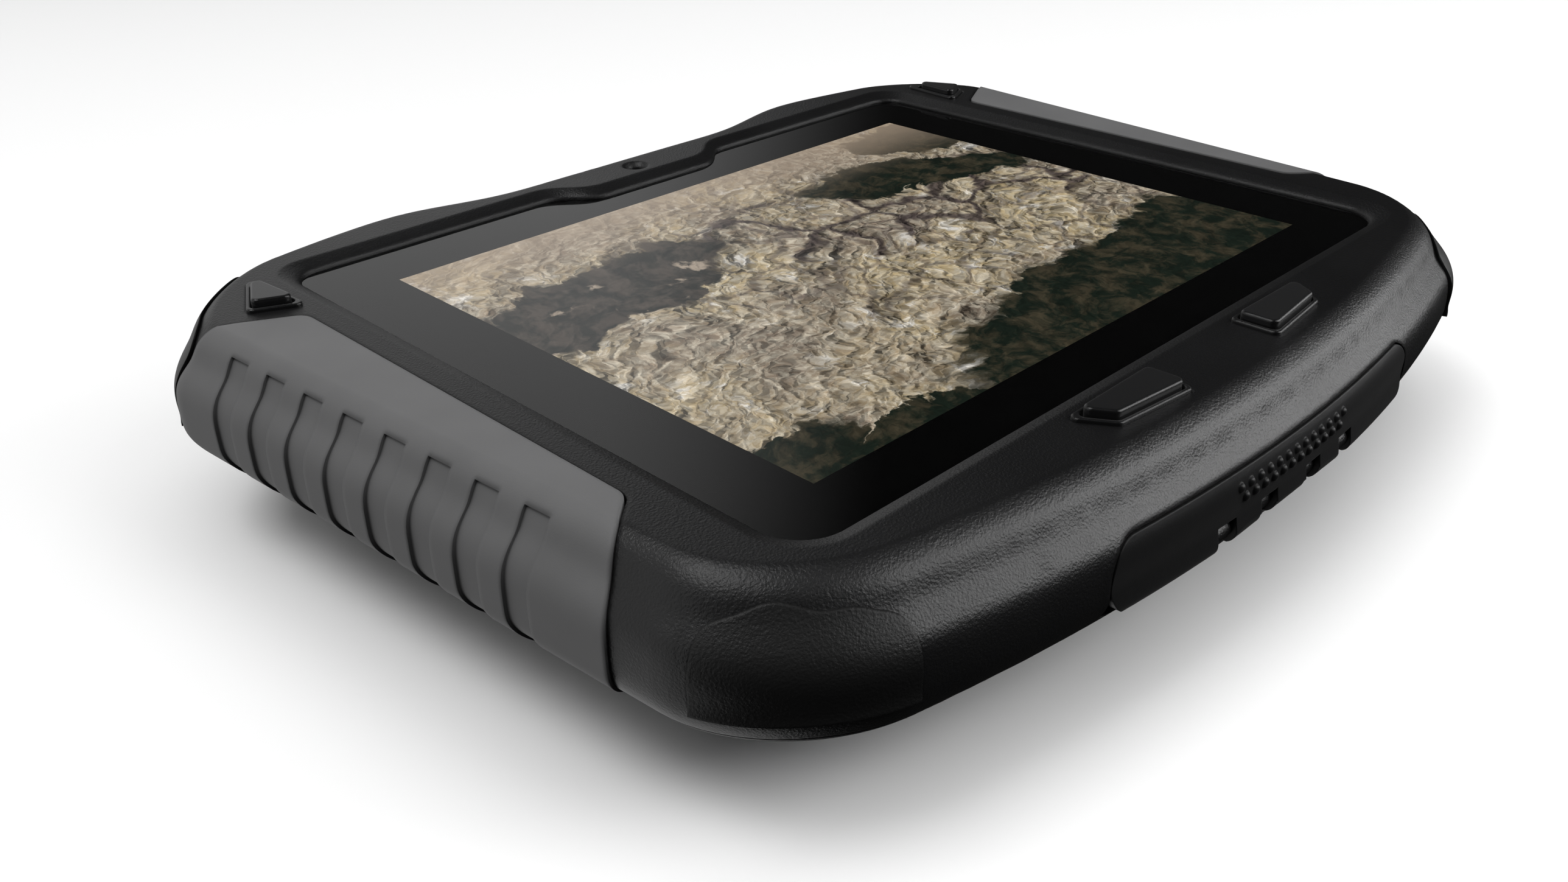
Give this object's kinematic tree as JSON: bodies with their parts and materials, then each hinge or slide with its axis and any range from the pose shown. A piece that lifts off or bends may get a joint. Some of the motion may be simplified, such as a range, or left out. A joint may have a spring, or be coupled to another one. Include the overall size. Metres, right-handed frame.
{
  "type": "rugged field data collector",
  "caption": "Landscape tablet-shaped field data collector with a wide screen, side grips, corner pads, bezel keys and a hinged port door.",
  "frame": {"origin": "on the flat back face, straight under the middle of the picture area", "axes": "+X to the user's right, +Y up the screen towards the eyelet, +Z out of the screen"},
  "size_m": [0.1882, 0.1436, 0.0348],
  "materials": {
    "housing_black": "fine moulded grain, satin",
    "grip_grey": "soft-touch, matt",
    "pad_black": "fine grain, matt",
    "rubber_black": "smooth, matt",
    "cover_glass": "polished",
    "display_picture": "aerial view of dry land",
    "flex_amber": "polyimide film",
    "key_rubber": "satin silicone",
    "board_green": "solder mask",
    "steel": "bright",
    "door_black": "smooth satin",
    "magnesium": "cast, bead blasted",
    "tinned_steel": "pressed and tinned",
    "copper": "rolled copper",
    "ceramic": "fired ceramic",
    "speaker_grey": "moulded",
    "battery_wrap": "shrink film",
    "gold": "gold plate",
    "latch_grey": "moulded nylon",
    "brass": "turned"
  },
  "bodies": {
    "root": {"front_housing": "housing_black", "rear_housing": "housing_black", "housing_gasket": "rubber_black", "left_grip": "grip_grey", "right_grip": "grip_grey", "corner_pad_front_left": "pad_black", "corner_pad_front_right": "pad_black", "corner_pad_rear_left": "pad_black", "corner_pad_rear_right": "pad_black", "touch_glass": "cover_glass", "glass_seal": "rubber_black", "display_panel": "display_picture", "display_flex": "flex_amber", "key_collars": "key_rubber", "keypad_board": "board_green", "key_domes": "steel", "door_hinge_pins": "steel", "usb_a_port": "steel", "usb_c_port": "steel", "power_jack": "steel", "chassis": "magnesium", "main_board": "board_green", "chip_shields": "tinned_steel", "heat_spreader": "copper", "gnss_antenna": "ceramic", "radio_antenna": "flex_amber", "coin_cell": "steel", "speaker": "speaker_grey", "speaker_membrane": "rubber_black", "battery_pack": "battery_wrap", "battery_contacts": "gold", "battery_door": "housing_black", "battery_seal": "rubber_black", "housing_screws": "steel", "board_screws": "steel", "mount_inserts": "brass"},
    "key_left": {"key_left": "key_rubber"},
    "key_right": {"key_right": "key_rubber"},
    "key_up_left": {"key_up_left": "key_rubber"},
    "key_up_right": {"key_up_right": "key_rubber"},
    "port_door": {"port_door": "door_black"},
    "battery_latch_left": {"battery_latch_left": "latch_grey"},
    "battery_latch_right": {"battery_latch_right": "latch_grey"}
  },
  "joints": [
    {"name": "key_left_press", "type": "slide", "parent": "root", "child": "key_left", "axis": [0, 0, -1], "range_m": [0, 0.0008], "stiffness_N_per_m": 1200},
    {"name": "key_right_press", "type": "slide", "parent": "root", "child": "key_right", "axis": [0, 0, -1], "range_m": [0, 0.0008], "stiffness_N_per_m": 1200},
    {"name": "key_up_left_press", "type": "slide", "parent": "root", "child": "key_up_left", "axis": [0, 0, -1], "range_m": [0, 0.0008], "stiffness_N_per_m": 1200},
    {"name": "key_up_right_press", "type": "slide", "parent": "root", "child": "key_up_right", "axis": [0, 0, -1], "range_m": [0, 0.0008], "stiffness_N_per_m": 1200},
    {"name": "port_door_swing", "type": "hinge", "parent": "root", "child": "port_door", "pos_m": [0, -0.0732, 0.018], "axis": [1, 0, 0], "range_deg": [0, 100]},
    {"name": "battery_latch_left_turn", "type": "hinge", "parent": "root", "child": "battery_latch_left", "pos_m": [-0.034, -0.0056, 0.003], "axis": [0, 0, 1], "range_deg": [0, 90]},
    {"name": "battery_latch_right_turn", "type": "hinge", "parent": "root", "child": "battery_latch_right", "pos_m": [0.034, -0.0056, 0.003], "axis": [0, 0, -1], "range_deg": [0, 90]}
  ]
}
